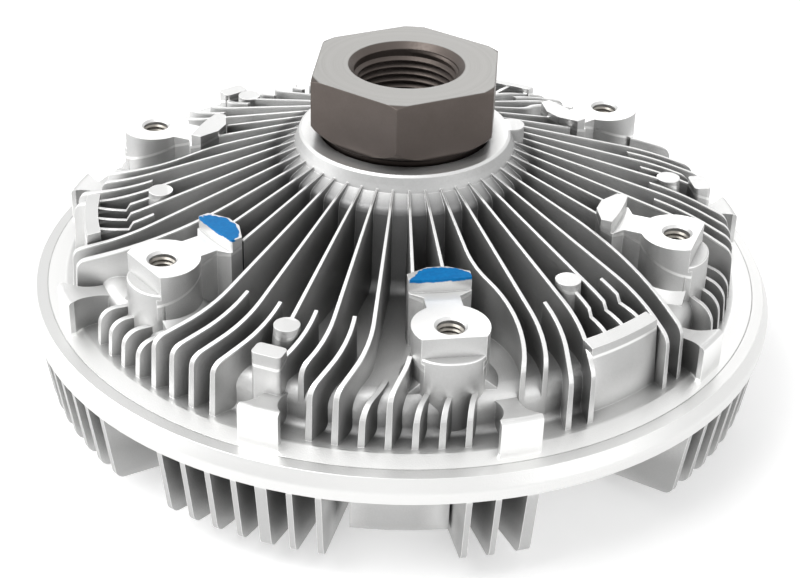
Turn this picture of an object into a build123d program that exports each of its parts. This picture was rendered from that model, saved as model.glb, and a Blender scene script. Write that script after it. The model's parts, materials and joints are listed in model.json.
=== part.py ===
from build123d import *
import math
import os

# Viscous fan clutch for a heavy engine.
# +Z is the axis, with the threaded drive hexagon up and the finned front cover down.
# Heights in the functions are measured from the seam where the cover's lip closes on the housing.
# seam_height lifts every piece, so that the cover's fins stand on Z = 0.

# Seam, rim and rolled lip
seam_height = 34.5
rim_radius = 102.9
lip_inner_radius = 98.0
lip_thickness = 1.2
lip_wall = 3.4
flange_thickness = 3.2
joint_clearance = 0.02
rim_drop = 5.7

# Rear housing casting
hub_top = 40.7
hub_face_radius = 28.4
hub_opening_radius = 23.4
hub_edge = 0.5
hub_lug_reach = 32.8
hub_lug_width = 7.0
hub_lug_count = 4
hub_lug_angle = 8.0
crest_radius = 29.9
crest_height = 37.2
crest_slope = 0.362
valley_floor = 11.3
floor_fillet = 3.5
hub_tube_radius = 34.3
hub_tube_foot = 36.6
hub_tube_round = 2.5
drum_radius = 85.4
drum_shoulder = 4.5
drum_foot = 2.0
ring_inner_radius = 93.3
ring_rise = 1.0
sector_start = 219.2
sector_angle = 120.0
sector_count = 3

# Ribs of the rear housing: every rib runs straight out, then sweeps back to the rim
rib_thickness = 1.6
rib_draft = 0.8
rib_pitch = 4.0
rib_first = 1.9
rib_foot_radius = 91.6
rib_face_radius = 90.9
rib_nose = 4.0
inner_rib_radius = 85.2
rib_bend_radius = 70.2
rib_turn_radius = 84.0
rib_turn = 2.22
rib_sweep = 4.4
short_rib_radius = 68.6
stub_rib_radius = 79.0
stub_crest_height = 12.2
stub_nose = 5.0
step_radius = 74.5
step_drop = 2.0

# Fan bosses with their inner tabs
boss_circle = 153.7
boss_count = 6
boss_radius = 9.55
boss_top = 26.1
boss_flat = 5.5
boss_flat_drop = 6.6
boss_foot_flat = 6.4
fan_screw_radius = 3.4
fan_screw_depth = 13.0
fan_screw_relief = 2.4
fan_screw_relief_radius = 3.75
fan_screw_chamfer = 0.7
tab_inner_radius = 55.4
tab_outer_radius = 61.6
tab_width = 15.6
tab_top = 29.6
neck_width = 9.0
boss_skirt = 2.5

# Ejector pads, posts, plates and rim blocks of the rear housing
pad_radius = 3.25
pad_skirt = 1.0
pad_a_circle = 66.1
pad_a_top = 25.1
pad_a_angle = 90.0
pad_b_circle = 75.7
pad_b_top = 21.8
pad_b_angle = 30.0
post_angle = 29.8
post_width = 7.8
post_inner_radius = 82.6
post_outer_radius = 87.4
post_top = 19.9
plate_start = 83.2
plate_end = 98.0
plate_inner_radius = 83.2
plate_outer_radius = 87.4
plate_top = 19.6
block_angle = 68.7
block_spacing = 37.6
block_width = 10.5
block_outer_radius = 96.6
block_waist_radius = 90.5
block_waist = 5.4
block_top = 11.0
block_slope = 2.6
block_round = 1.4

# Deep groove bearing
bearing_bore_radius = 17.5
bearing_outer_radius = 31.0
bearing_width = 14.0
bearing_seat = 14.5
ball_radius = 4.35
ball_count = 9
race_clearance = 0.05
ring_shoulder = 2.95
seal_thickness = 1.0
seal_inset = 0.9
seal_groove = 0.9
seal_gap = 0.3
cage_thickness = 2.1
cage_rim = 0.6
snap_thickness = 1.5
snap_width = 5.5
snap_groove = 2.0
snap_gap_angle = 24.0
snap_lug_radius = 3.0
snap_hole_radius = 1.2

# Drive hub with the hexagon
hex_flats = 47.5
hex_angle = 25.8
hex_top = 59.3
hex_bottom = 44.6
hex_under_height = 42.3
hex_chamfer = 0.55
hub_bore_radius = 13.92
hub_bore_depth = 24.0
hub_bore_chamfer_radius = 15.55
relief_radius = 15.4
relief_length = 5.0
neck_radius = 22.7
rotor_seat_radius = 15.0
spline_start = 12.0

# Rotor with its lands
rotor_radius = 78.0
rotor_thickness = 4.0
rotor_hub_radius = 20.8
rotor_recess_radius = 22.0
rotor_recess_depth = 2.2
rotor_gap = 1.0
land_count = 4
land_pitch = 5.0
land_width = 2.0
land_height = 4.7
land_outer_radius = 76.5
rotor_web_radius = 26.5
rotor_hole_radius = 3.0
rotor_hole_count = 6
rotor_hole_circle = 36.0
rotor_snap_width = 4.6
rotor_snap_depth = 1.1
shaft_end = 1.4
chamber_radius = 81.5

# Divider plate, wiper, valve arm and stops
divider_radius = 82.9
divider_thickness = 1.8
divider_screw_count = 6
divider_screw_circle = 79.0
divider_screw_radius = 1.5
divider_screw_head = 2.9
divider_screw_length = 8.0
wiper_angle = 200.0
wiper_length = 12.0
wiper_inner_radius = 78.5
wiper_width = 2.2
wiper_peg_radius = 0.9
valve_port_radius = 3.0
valve_port_circle = 52.0
return_port_radius = 1.3
valve_angle = 75.0
valve_travel = 30.0
arm_thickness = 0.8
arm_gap = 0.3
arm_hub_radius = 8.0
arm_tip_width = 10.0
stop_pin_radius = 1.2
stop_pin_length = 4.0
stop_circle = 44.0
stop_clearance = 1.0

# Valve shaft and its bearing
valve_shaft_radius = 4.0
valve_tenon_radius = 3.0
bushing_wall = 2.0
bushing_length = 12.0
running_clearance = 0.05
seal_ring_seat = 1.05

# Front cover casting
reservoir_radius = 74.0
reservoir_depth = 8.0
cover_floor = 4.5
cover_boss_wall = 3.5
cover_rim_drop = 8.6
cover_shoulder_radius = 88.0
cover_shoulder_drop = 12.5
centre_recess_radius = 30.0
centre_wall = 4.0
fin_pitch = 4.0
fin_thickness = 1.5
fin_outer_radius = 102.2
fin_foot_radius = 99.2
fin_corner = 3.6
fin_corner_drop = 27.4
fin_flat_radius = 62.0
fin_short_radius = 60.0
fin_wide = 3.0
fin_places = ((0.8, 4.8), (16.8, 28.8), (36.8, 40.8), (60.8, 64.8), (96.8, 116.8))
wide_fin_places = (32.8, 69.6)
pad_wall_start = 43.6
pad_wall_end = 59.9
pad_wall_radius = 86.5
pad_wall_inner = 66.0
pad_wall_drop = 27.6
cover_seal_circle = 93.0
cover_seal_width = 2.2
cover_seal_depth = 2.2
cover_seal_clearance = 0.2

# Thermostat coil, its bracket and the filler plug
coil_width = 9.0
coil_strip = 1.0
coil_inner_radius = 7.0
coil_turns = 5
coil_pitch = 3.3
coil_bend = 1.0
coil_end_length = 4.0
coil_top_drop = 22.5
coil_slot = 1.3
bracket_thickness = 1.5
bracket_width = 20.0
bracket_lap = 5.0
bracket_screw_spacing = 13.0
bracket_screw_radius = 2.0
bracket_screw_head = 3.4
bracket_screw_head_height = 1.7
bracket_screw_length = 3.6
bracket_hole_distance = 19.5
plug_radius = 2.6
plug_circle = 24.5
plug_head = 0.8

# Derived places
flange_radius = rim_radius - lip_wall
mating_plane = -flange_thickness
boss_circle_radius = boss_circle / 2
bearing_top = bearing_seat + bearing_width
pitch_radius = (bearing_bore_radius + bearing_outer_radius) / 2
divider_top = mating_plane
divider_bottom = divider_top - divider_thickness
rotor_bottom = divider_top + rotor_gap
rotor_top = rotor_bottom + rotor_thickness
chamber_top = rotor_top + land_height + rotor_gap
arm_top = divider_bottom - arm_gap
arm_bottom = arm_top - arm_thickness
cover_inner_floor = divider_bottom - reservoir_depth
cover_outer_floor = cover_inner_floor - cover_floor
bushing_radius = valve_shaft_radius + running_clearance + bushing_wall
bushing_top = cover_inner_floor + (bushing_length - cover_floor) / 2
bushing_bottom = bushing_top - bushing_length
coil_top = -coil_top_drop
coil_bottom = coil_top - coil_width
coil_reach = coil_inner_radius + coil_turns * coil_pitch + coil_strip / 2


def polar(radius, angle, height=0.0):
    """Point at a radius and an angle in degrees round the axis."""
    turn = math.radians(angle)
    return Vector(radius * math.cos(turn), radius * math.sin(turn), height)


def outline(*corners):
    """Closed outline in the XZ plane; a corner's third number is the radius that rounds it."""
    spots = [Vector(corner[0], 0, corner[1]) for corner in corners]
    ends = []
    for i, corner in enumerate(corners):
        here = spots[i]
        if len(corner) == 2:
            ends.append((here, here, None))
            continue
        to_last = (spots[i - 1] - here).normalized()
        to_next = (spots[(i + 1) % len(spots)] - here).normalized()
        half = math.radians(to_last.get_angle(to_next)) / 2
        reach = corner[2] / math.tan(half)
        inward = (to_last + to_next).normalized()
        middle = here + inward * (corner[2] / math.sin(half) - corner[2])
        ends.append((here + to_last * reach, here + to_next * reach, middle))
    edges = []
    for i, (start, end, middle) in enumerate(ends):
        if middle is not None:
            edges.append(ThreePointArc(start, middle, end))
        edges.append(Line(end, ends[(i + 1) % len(ends)][0]))
    return make_face(edges)


def turned(*corners):
    """Solid of revolution about Z from (radius, height) corners."""
    return revolve(outline(*corners), Axis.Z, 360)


def ring(inner, outer, bottom, top):
    """Plain ring between two radii and two heights."""
    return turned((inner, bottom), (outer, bottom), (outer, top), (inner, top))


def post(radius, bottom, top, x=0.0, y=0.0):
    """Plain cylinder standing between two heights."""
    return Pos(x, y, bottom) * Cylinder(radius, top - bottom, align=(Align.CENTER, Align.CENTER, Align.MIN))


def block(x_low, x_high, width, bottom, top):
    """Box centred on the X axis across its width."""
    size = Box(x_high - x_low, width, top - bottom, align=(Align.MIN, Align.CENTER, Align.MIN))
    return Pos(x_low, 0, bottom) * size


def turned_copies(shape, count, first=0.0):
    """Copies of a shape spread evenly round the axis."""
    return [Rot(0, 0, first + 360 / count * i) * shape for i in range(count)]


def crest(radius):
    """Height of the rib crests of the rear housing at a radius."""
    return crest_height - crest_slope * (radius - crest_radius)


def flowing(points):
    """Path in plan through (radius, angle) points: a straight run, then arcs that stay tangent."""
    spots = [polar(*point) for point in points]
    edges = [Line(spots[0], spots[1])]
    heading = (spots[1] - spots[0]).normalized()
    for start, end in zip(spots[1:-1], spots[2:]):
        arc = TangentArc(start, end, tangent=heading)
        edges.append(arc)
        heading = arc % 1
    return Wire([path.edge() for path in edges])


def rib(points):
    """One rib of the rear housing, standing from the seam, drafted towards its crest."""
    web = trace(flowing(points), rib_thickness)
    return extrude(web, crest_height + 2, taper=rib_draft)


def swept(start, angle):
    """Points of an ordinary rib: straight to the bend radius, then turned back towards its foot."""
    return ((start, angle), (rib_bend_radius, angle), *swept_end(angle))


def swept_end(angle):
    """Last two points of an ordinary rib."""
    return ((rib_turn_radius, angle - rib_turn), (rib_foot_radius + 1, angle - rib_sweep))


def crest_envelope(face, foot):
    """Space of the ribs: the sloping crest, its rounded nose and the steep face down to the foot."""
    return turned((0, 0), (foot, 0), (face, crest(face), rib_nose),
                  (crest_radius, crest_height), (0, crest_height))


def stub_envelope():
    """Lower space for the short ribs that stand outside the drum below each boss."""
    return turned(
        (0, 0),
        (rib_foot_radius, 0),
        (rib_face_radius, stub_crest_height - 1.2, stub_nose),
        (drum_radius - drum_shoulder, stub_crest_height),
        (0, stub_crest_height),
    )


def stepped_envelope():
    """Space of the ribs behind the plate, which step down at the step radius."""
    low = crest(step_radius) - step_drop
    return turned((0, 0), (plate_inner_radius + 2, 0),
                  (plate_inner_radius + 2, low), (step_radius + 1.2, low),
                  (step_radius, crest(step_radius)), (crest_radius, crest_height), (0, crest_height))


def rib_sector():
    """Ribs of one 120 degree sector, with the angles counted from its first boss."""
    angle = [rib_first + rib_pitch * i for i in range(30)]
    start = crest_radius - 2
    tab = tab_inner_radius + 2
    bend = rib_bend_radius
    beside = [((stub_rib_radius, a - 1.0), (stub_rib_radius + 1.5, a - 1.3), *swept_end(a)) for a in angle]
    full = [swept(start, angle[i]) for i in (3, 5, 11, 21)]
    full += [swept(short_rib_radius, angle[i]) for i in (4, 6, 10, 20)]
    full += [((start, angle[i]), (tab, angle[i])) for i in (1, 13, 15, 29)]
    full.append(((start, angle[7]), (pad_b_circle, angle[7])))
    full.append(((short_rib_radius, angle[8]), (bend, angle[8]), (post_inner_radius + 1, angle[8] - 2.1)))
    full.append(beside[13])
    full.append(((start, angle[25]), (bend, angle[25] - 0.25), *swept_end(angle[25])))
    full.append(((start, angle[27]), (51, angle[27]),
                 (84, angle[27] - 6.1), (rib_foot_radius + 1, angle[27] - 8.5)))
    inner = [swept(start, angle[i]) for i in (9, 19)]
    inner.append(((start, angle[17] + 0.2), (49, angle[17]), (59.5, angle[17] + 2.3), (84, angle[17] + 1.8),
                  (rib_foot_radius, angle[17] - 0.4)))
    stubs = [beside[i] for i in (0, 1, 2, 12, 14, 15, 16, 29)]
    stepped = [((first, angle[i]), (bend, angle[i]), (plate_inner_radius + 1, angle[i] - 2.1))
               for i, first in ((22, pad_a_circle), (23, start), (24, short_rib_radius))]
    return full, inner, stubs, stepped


def ribs():
    """All the ribs of the rear housing, cut to their crests."""
    full, inner, stubs, stepped = rib_sector()
    pieces = [rib(points) & crest_envelope(rib_face_radius, rib_foot_radius) for points in full]
    pieces += [rib(points) & crest_envelope(inner_rib_radius, inner_rib_radius + 0.3) for points in inner]
    pieces += [rib(points) & stub_envelope() for points in stubs]
    pieces += [rib(points) & stepped_envelope() for points in stepped]
    turns = [sector_start + sector_angle * i for i in range(sector_count)]
    return [Rot(0, 0, turn) * piece for turn in turns for piece in pieces]


def fan_boss():
    """Boss for one fan screw, with its flat, its neck and its inner tab, centred on the X axis."""
    centre = boss_circle_radius
    foot = flange_thickness
    body = post(boss_radius, foot, boss_top, x=centre)
    outer = centre + 2 * boss_radius
    body -= block(centre + boss_flat, outer, 3 * boss_radius, boss_top - boss_flat_drop, boss_top)
    body -= block(centre + boss_foot_flat, outer, 3 * boss_radius, foot, boss_top)
    neck = block(tab_outer_radius - 1, centre, neck_width, foot, boss_top)
    shape = Polyline(
        (tab_inner_radius, -2.4),
        (tab_inner_radius + 2.8, -tab_width / 2),
        (tab_outer_radius, -tab_width / 2),
        (tab_outer_radius + 2.1, -neck_width / 2),
        (tab_outer_radius + 2.1, neck_width / 2),
        (tab_outer_radius, tab_width / 2),
        (tab_inner_radius + 2.8, tab_width / 2),
        (tab_inner_radius, 2.4),
        close=True,
    )
    tab = Pos(0, 0, foot) * extrude(make_face(shape), tab_top - foot)
    tab -= ring(tab_outer_radius, centre, boss_top, tab_top)
    skirt = turned((0, foot), (boss_radius + boss_skirt, foot), (boss_radius + boss_skirt, valley_floor),
                   (boss_radius, valley_floor + boss_skirt), (0, valley_floor + boss_skirt))
    skirt = Pos(centre, 0, 0) * skirt - block(centre + boss_flat, outer, 4 * boss_radius, foot, boss_top)
    return body + neck + tab + skirt


def fan_screw_hole():
    """Tapped hole of one fan boss with its chamfer, centred on the X axis."""
    bottom = boss_top - fan_screw_depth
    low = bottom - fan_screw_relief
    hole = turned((0, low - fan_screw_radius * 0.5), (fan_screw_relief_radius, low),
                  (fan_screw_relief_radius, bottom), (fan_screw_radius, bottom),
                  (fan_screw_radius, boss_top - fan_screw_chamfer),
                  (fan_screw_radius + fan_screw_chamfer, boss_top), (0, boss_top))
    return Pos(boss_circle_radius, 0, 0) * hole


def pad(top):
    """Ejector pad of the housing, a little wider at the valley floor."""
    return turned((0, flange_thickness), (pad_radius + pad_skirt, flange_thickness),
                  (pad_radius + pad_skirt, valley_floor), (pad_radius, top - 1), (pad_radius, top), (0, top))


def rim_block():
    """Block on the rim that narrows to a waist and joins the drum, centred on the X axis."""
    inner = drum_radius - drum_shoulder
    section = outline((inner, 0), (block_outer_radius, 0), (block_outer_radius, block_top, block_round),
                      (block_waist_radius, block_top - block_slope / 2), (inner, block_top - block_slope))
    body = revolve(section, Axis.Z, 360)
    half = block_width / 2
    outer = block_outer_radius - 1.6
    left = ThreePointArc((outer, half), (block_waist_radius, block_waist / 2), (inner, half))
    right = ThreePointArc((inner, -half), (block_waist_radius, -block_waist / 2), (outer, -half))
    far = outer + 3
    plan = make_face([left, Line((inner, half), (inner, -half)), right, Line((outer, -half), (far, -half)),
                      Line((far, -half), (far, half)), Line((far, half), (outer, half))])
    return body & extrude(plan, block_top + 1)


def housing_details():
    """Pads, post, plate and rim blocks of one sector."""
    pad_a = Rot(0, 0, pad_a_angle) * Pos(pad_a_circle, 0, 0) * pad(pad_a_top)
    pad_b = Rot(0, 0, pad_b_angle) * Pos(pad_b_circle, 0, 0) * pad(pad_b_top)
    stand = block(post_inner_radius, post_outer_radius, post_width, 0, post_top)
    stand = fillet(stand.edges().filter_by(Axis.Z), 1.2)
    stand = Rot(0, 0, post_angle) * stand
    wall = outline((plate_inner_radius, 0), (plate_outer_radius + 0.8, 0),
                   (plate_outer_radius - 0.6, plate_top - 0.6), (plate_inner_radius, plate_top))
    plate = Rot(0, 0, plate_start) * revolve(wall, Axis.Z, plate_end - plate_start)
    blocks = [Rot(0, 0, block_angle + block_spacing * i) * rim_block() for i in (-1, 0, 1)]
    return [pad_a, pad_b, stand, plate] + blocks


def housing_blank():
    """Turned form of the rear housing before its ribs, bosses and bores."""
    return turned(
        (0, mating_plane),
        (flange_radius, mating_plane),
        (flange_radius, -lip_thickness),
        (lip_inner_radius, -lip_thickness),
        (lip_inner_radius, 0),
        (ring_inner_radius, ring_rise),
        (drum_radius, ring_rise, drum_foot),
        (drum_radius, valley_floor, drum_shoulder),
        (hub_tube_foot, valley_floor, floor_fillet),
        (hub_tube_radius, crest_height - 3.7, hub_tube_round),
        (hub_face_radius + 1.6, crest_height - 0.8),
        (hub_face_radius + 0.2, hub_top - hub_edge),
        (hub_face_radius - hub_edge, hub_top),
        (0, hub_top),
    )


def housing_cavity():
    """Working chamber, bearing bore, ring groove and neck opening of the rear housing."""
    groove_bottom = bearing_seat - snap_thickness
    cavity = turned(
        (0, mating_plane - 1),
        (chamber_radius, mating_plane - 1),
        (chamber_radius, chamber_top),
        (bearing_outer_radius + 1, chamber_top),
        (bearing_outer_radius, chamber_top + 1),
        (bearing_outer_radius, groove_bottom),
        (bearing_outer_radius + snap_groove, groove_bottom),
        (bearing_outer_radius + snap_groove, bearing_seat),
        (bearing_outer_radius, bearing_seat),
        (bearing_outer_radius, bearing_top),
        (hub_opening_radius, bearing_top),
        (hub_opening_radius, hub_top + 1),
        (0, hub_top + 1),
    )
    return cavity


def housing_lands():
    """Annular lands that hang from the chamber roof between the rotor's lands."""
    lands = []
    for i in range(land_count - 1):
        middle = land_outer_radius - land_width / 2 - land_pitch * (i + 0.5)
        inner = middle - land_width / 2
        lands.append(ring(inner, inner + land_width, rotor_top + rotor_gap, chamber_top + 1))
    return lands


def rear_housing():
    """Finned rear casting that carries the fan and turns with it."""
    lugs = []
    round_centre = hub_lug_reach - hub_lug_width / 2
    for i in range(hub_lug_count):
        lug = block(hub_opening_radius + 1, round_centre, hub_lug_width, crest_height - 4, hub_top)
        lug += post(hub_lug_width / 2, crest_height - 4, hub_top, x=round_centre)
        lugs.append(Rot(0, 0, hub_lug_angle + 360 / hub_lug_count * i) * lug)
    details = [Rot(0, 0, sector_start + sector_angle * i) * piece
               for i in range(sector_count) for piece in housing_details()]
    bosses = turned_copies(fan_boss(), boss_count, sector_start)
    casting = housing_blank() + ribs() + bosses + details + lugs
    casting = casting - housing_cavity() - turned_copies(fan_screw_hole(), boss_count, sector_start)
    return casting + housing_lands()


def fin_outline(inner):
    """Side view of one cover fin from an inner radius out to the rim."""
    return outline(
        (inner, cover_outer_floor + 1),
        (inner, -seam_height),
        (fin_flat_radius, -seam_height),
        (fin_foot_radius, -fin_corner_drop, fin_corner),
        (fin_outer_radius, -cover_rim_drop + 2),
        (fin_outer_radius - 4, mating_plane - 2),
        (cover_shoulder_radius - 2, mating_plane - 2),
    )


def cover_fin(inner, thickness):
    """One fin of the front cover, standing on the X axis."""
    return Pos(0, thickness / 2, 0) * extrude(fin_outline(inner), thickness)


def cover_fins():
    """All the fins of the front cover: long and short ones in turn, with the gaps of the casting."""
    long_fin = cover_fin(centre_recess_radius + centre_wall / 2, fin_thickness)
    short_fin = cover_fin(fin_short_radius, fin_thickness)
    wide_fin = cover_fin(fin_short_radius, fin_wide)
    fins = []
    for sector in range(sector_count):
        base = sector_start + sector_angle * sector
        for first, last in fin_places:
            for i in range(round((last - first) / fin_pitch) + 1):
                place = first + fin_pitch * i
                index = round((place - fin_places[0][0]) / fin_pitch)
                piece = long_fin if index % 2 == 0 else short_fin
                fins.append(Rot(0, 0, base + place) * piece)
        fins += [Rot(0, 0, base + place) * wide_fin for place in wide_fin_places]
    return fins


def front_cover():
    """Finned front casting with the reservoir and the lip that is rolled over the housing flange."""
    ledge = divider_bottom
    blank = turned(
        (0, cover_outer_floor),
        (centre_recess_radius, cover_outer_floor),
        (centre_recess_radius, -seam_height),
        (centre_recess_radius + centre_wall, -seam_height),
        (centre_recess_radius + centre_wall, cover_outer_floor),
        (reservoir_radius - 4, cover_outer_floor),
        (cover_shoulder_radius, -cover_shoulder_drop),
        (fin_outer_radius - 2.5, -cover_rim_drop),
        (rim_radius, -rim_drop - 0.8),
        (rim_radius, -rim_drop + 2, 2),
        (rim_radius - 1.8, -0.3),
        (lip_inner_radius + joint_clearance, 0),
        (lip_inner_radius + joint_clearance, -lip_thickness + joint_clearance),
        (flange_radius + joint_clearance, -lip_thickness + joint_clearance),
        (flange_radius + joint_clearance, mating_plane - joint_clearance),
        (divider_radius + 0.3, mating_plane - joint_clearance),
        (divider_radius + 0.3, ledge),
        (reservoir_radius, ledge),
        (reservoir_radius, cover_inner_floor),
        (0, cover_inner_floor),
    )
    groove_half = cover_seal_width / 2 + cover_seal_clearance
    groove = ring(cover_seal_circle - groove_half, cover_seal_circle + groove_half,
                  mating_plane - cover_seal_depth - joint_clearance, mating_plane)
    shaft_boss = post(bushing_radius + cover_boss_wall, bushing_bottom, bushing_top)
    wall = outline((pad_wall_inner, cover_outer_floor + 2), (pad_wall_inner, -pad_wall_drop),
                   (pad_wall_radius, -pad_wall_drop), (pad_wall_radius + 1, -cover_shoulder_drop + 2))
    pad_wall = Rot(0, 0, pad_wall_start) * revolve(wall, Axis.Z, pad_wall_end - pad_wall_start)
    pad_walls = turned_copies(pad_wall, sector_count, sector_start)
    cover = blank + shaft_boss + pad_walls + cover_fins()
    cover = cover - groove - post(bushing_radius, bushing_bottom - 1, bushing_top + 1)
    cover -= [screw_place * post(divider_screw_radius, divider_top - divider_screw_length, divider_top)
              for screw_place in divider_screw_places()]
    cover -= [place * post(bracket_screw_radius, cover_outer_floor, cover_outer_floor + bracket_screw_length)
              for place in bracket_screw_places()]
    cover -= post(plug_radius, cover_outer_floor, cover_inner_floor, x=-plug_circle)
    return cover


def cover_seal():
    """Square-cut ring in the cover's groove against the housing flange."""
    return ring(cover_seal_circle - cover_seal_width / 2, cover_seal_circle + cover_seal_width / 2,
                mating_plane - cover_seal_depth, mating_plane - joint_clearance)


def race_groove():
    """Space that the ball row sweeps, with its clearance."""
    spot = Pos(pitch_radius, 0, bearing_seat + bearing_width / 2)
    return revolve(spot * Rot(90, 0, 0) * Circle(ball_radius + race_clearance), Axis.Z, 360)


def bearing_outer_ring():
    """Outer ring, pressed in the housing, with a groove for each seal."""
    inner = pitch_radius + ring_shoulder + 0.5
    body = ring(inner, bearing_outer_radius, bearing_seat, bearing_top) - race_groove()
    for low in seal_heights():
        body -= ring(inner - 1, inner + seal_groove, low, low + seal_thickness)
    return body


def bearing_inner_ring():
    """Inner ring, pressed on the drive hub."""
    return ring(bearing_bore_radius, pitch_radius - ring_shoulder, bearing_seat, bearing_top) - race_groove()


def seal_heights():
    """Lower faces of the two bearing seals."""
    return (bearing_seat + seal_inset, bearing_top - seal_inset - seal_thickness)


def bearing_seal(low):
    """Rubber lip seal held by the outer ring, clear of the inner ring."""
    outer = pitch_radius + ring_shoulder + 0.5 + seal_groove
    inner = pitch_radius - ring_shoulder + seal_gap
    high = low + seal_thickness
    return turned((inner, low), (outer, low), (outer, high),
                  (inner + 1.2, high), (inner, low + 0.6 * seal_thickness))


def ball(index):
    """One ball of the bearing."""
    place = polar(pitch_radius, 360 / ball_count * index, bearing_seat + bearing_width / 2)
    return Pos(place) * Sphere(ball_radius)


def bearing_cage():
    """Window cage with one pocket for each ball."""
    half = ball_radius + race_clearance + cage_rim
    middle = bearing_seat + bearing_width / 2
    inner = pitch_radius - cage_thickness / 2
    body = ring(inner, inner + cage_thickness, middle - half, middle + half)
    reach = ball_radius + 2 * race_clearance
    pocket = block(inner - cage_thickness, inner + 2 * cage_thickness, 2 * reach,
                   middle - reach, middle + reach)
    return body - turned_copies(pocket, ball_count)


def snap_ring(inner, outer, low, lug_inward):
    """Retaining ring with a gap and two pierced ears, inside or outside its band."""
    body = ring(inner, outer, low, low + snap_thickness)
    middle = inner if lug_inward else outer
    reach = snap_lug_radius if lug_inward else -snap_lug_radius
    lug_circle = middle + reach * 0.35
    high = low + snap_thickness
    section = outline((inner, low), (outer, low), (outer, high), (inner, high))
    body -= Rot(0, 0, -snap_gap_angle / 2) * revolve(section, Axis.Z, snap_gap_angle)
    for side in (-1, 1):
        angle = side * (snap_gap_angle / 2 + math.degrees(snap_lug_radius / lug_circle))
        spot = polar(lug_circle, angle)
        body += post(snap_lug_radius, low, low + snap_thickness, x=spot.X, y=spot.Y)
    for side in (-1, 1):
        angle = side * (snap_gap_angle / 2 + math.degrees(snap_lug_radius / lug_circle))
        spot = polar(lug_circle, angle)
        body -= post(snap_hole_radius, low, low + snap_thickness, x=spot.X, y=spot.Y)
    return body


def bearing_retaining_ring():
    """Inner retaining ring that holds the bearing in the housing."""
    outer = bearing_outer_radius + snap_groove
    return snap_ring(outer - snap_width, outer, bearing_seat - snap_thickness, True)


def drive_hub():
    """Steel hub: threaded hexagon, neck, bearing seat and splined rotor seat in one piece."""
    corner = hex_flats / math.sqrt(3)
    spot_end = rotor_bottom - shaft_end + 0.9
    groove_top = rotor_recess_top() - joint_clearance
    groove_radius = rotor_seat_radius - rotor_snap_depth
    stem = turned(
        (0, spot_end),
        (rotor_seat_radius - 1, spot_end),
        (rotor_seat_radius, spot_end + 1),
        (rotor_seat_radius, groove_top - snap_thickness),
        (groove_radius, groove_top - snap_thickness),
        (groove_radius, groove_top),
        (rotor_seat_radius, groove_top),
        (rotor_seat_radius, bearing_seat),
        (bearing_bore_radius, bearing_seat),
        (bearing_bore_radius, bearing_top),
        (neck_radius - 1.2, bearing_top),
        (neck_radius, bearing_top + 1.2),
        (neck_radius, hex_under_height),
        (corner, hex_bottom),
        (corner, hex_top),
        (0, hex_top),
    )
    hexagon = extrude(RegularPolygon(corner, 6, rotation=hex_angle), hex_top - hex_under_height)
    hexagon = Pos(0, 0, hex_under_height) * hexagon
    envelope = turned(
        (0, hex_under_height),
        (neck_radius + 0.9, hex_under_height),
        (corner - 1.1, hex_bottom),
        (corner, hex_bottom + 1.6),
        (corner, hex_top - 1.3 * hex_chamfer),
        (corner - 2.6 * hex_chamfer, hex_top),
        (0, hex_top),
    )
    stem &= post(neck_radius + 0.001, spot_end - 1, hex_under_height + 0.5)
    body = stem + (hexagon & envelope)
    bore_bottom = hex_top - hub_bore_depth
    bore = turned(
        (0, bore_bottom - relief_length - 4),
        (relief_radius - 1, bore_bottom - relief_length),
        (relief_radius, bore_bottom - relief_length + 0.8),
        (relief_radius, bore_bottom),
        (hub_bore_radius, bore_bottom + relief_radius - hub_bore_radius),
        (hub_bore_radius, hex_top - (hub_bore_chamfer_radius - hub_bore_radius)),
        (hub_bore_chamfer_radius, hex_top),
        (0, hex_top),
    )
    return body - bore


def rotor_recess_top():
    """Face of the rotor's recess that its retaining ring bears on."""
    return rotor_bottom + rotor_recess_depth


def rotor():
    """Clutch disc with annular lands, pressed on the splined end of the hub."""
    body = turned(
        (rotor_seat_radius, rotor_recess_top()),
        (rotor_recess_radius, rotor_recess_top()),
        (rotor_recess_radius, rotor_bottom),
        (rotor_radius, rotor_bottom),
        (rotor_radius, rotor_top),
        (rotor_web_radius, rotor_top),
        (rotor_hub_radius, rotor_top + rotor_web_radius - rotor_hub_radius),
        (rotor_hub_radius, bearing_seat),
        (rotor_seat_radius, bearing_seat),
    )
    lands = []
    for i in range(land_count):
        outer = land_outer_radius - land_pitch * i
        lands.append(ring(outer - land_width, outer, rotor_top - 0.5, rotor_top + land_height))
    body += lands
    hole = post(rotor_hole_radius, rotor_bottom, rotor_top, x=rotor_hole_circle)
    return body - turned_copies(hole, rotor_hole_count)


def rotor_retaining_ring():
    """Outer retaining ring under the rotor on the hub's end."""
    inner = rotor_seat_radius - rotor_snap_depth
    low = rotor_recess_top() - joint_clearance - snap_thickness
    return snap_ring(inner, inner + rotor_snap_width, low, False)


def divider_screw_places():
    """Places of the divider screws."""
    return turned_copies(Pos(divider_screw_circle, 0, 0), divider_screw_count, sector_start)


def divider_screws():
    """Countersunk screws that hold the divider plate on the cover's ledge."""
    cone = divider_screw_head - divider_screw_radius
    low = divider_top - divider_screw_length
    screw = turned((0, low), (divider_screw_radius, low), (divider_screw_radius, divider_top - cone),
                   (divider_screw_head, divider_top), (0, divider_top))
    return Compound([place * screw for place in divider_screw_places()])


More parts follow.
